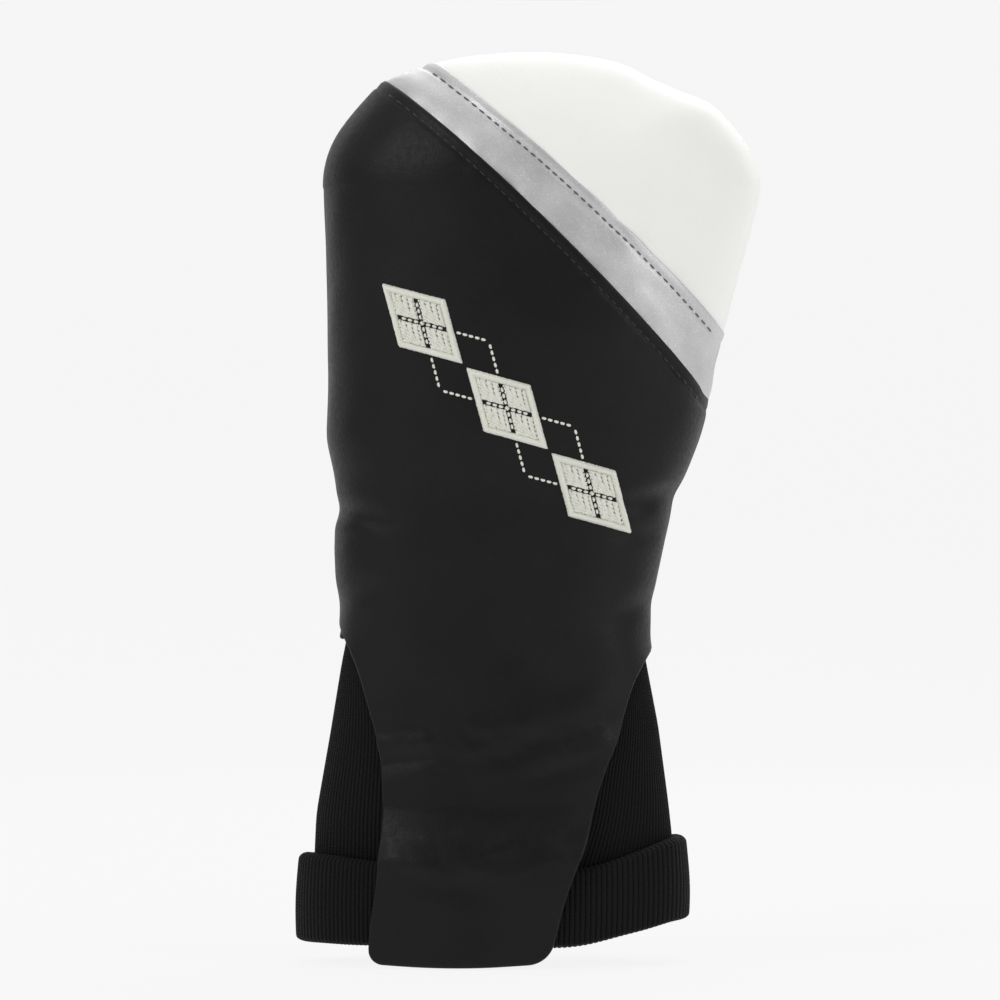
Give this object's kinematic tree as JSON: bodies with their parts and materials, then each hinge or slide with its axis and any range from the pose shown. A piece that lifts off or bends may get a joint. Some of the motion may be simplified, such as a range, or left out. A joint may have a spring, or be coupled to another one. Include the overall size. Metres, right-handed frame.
{
  "type": "driver head cover",
  "caption": "Padded leatherette cover for a golf driver's head, with a front tongue, a slanted silver band, a white crown and a rib-knit shaft sock.",
  "frame": {"origin": "on the club's shaft axis, at the level of the tongue's tip", "axes": "+Z along the shaft axis from the mouth towards the crown, -Y out of the front with the tongue, +X towards the club head's toe"},
  "size_m": [0.1629, 0.085, 0.3197],
  "materials": {
    "black_leatherette": "soft satin, fine grain",
    "white_leatherette": "soft satin, fine grain",
    "silver_fabric": "reflective, fine sparkle",
    "black_knit": "matt rib knit",
    "foam": "open-cell foam",
    "black_fleece": "brushed fleece",
    "black_elastic": "woven elastic",
    "black_tape": "twill binding",
    "stabiliser": "non-woven",
    "label_satin": "satin weave, blank",
    "grey_thread": "polyester thread",
    "black_thread": "polyester thread",
    "cream_thread": "embroidery thread, slight lustre"
  },
  "bodies": {
    "root": {"front_panel": "black_leatherette", "back_panel": "black_leatherette", "tongue_backing": "black_leatherette", "crown_panel": "white_leatherette", "silver_band": "silver_fabric", "knit_sock": "black_knit", "knit_cuff": "black_knit", "front_padding": "foam", "back_padding": "foam", "front_lining": "black_fleece", "back_lining": "black_fleece", "waist_elastic": "black_elastic", "seam_tape": "black_tape", "badge_backing": "stabiliser", "care_label": "label_satin", "band_topstitch": "grey_thread", "panel_topstitch": "black_thread", "waist_topstitch": "black_thread", "badge_border": "cream_thread", "badge_fill": "cream_thread", "badge_lines": "cream_thread"}
  },
  "joints": []
}
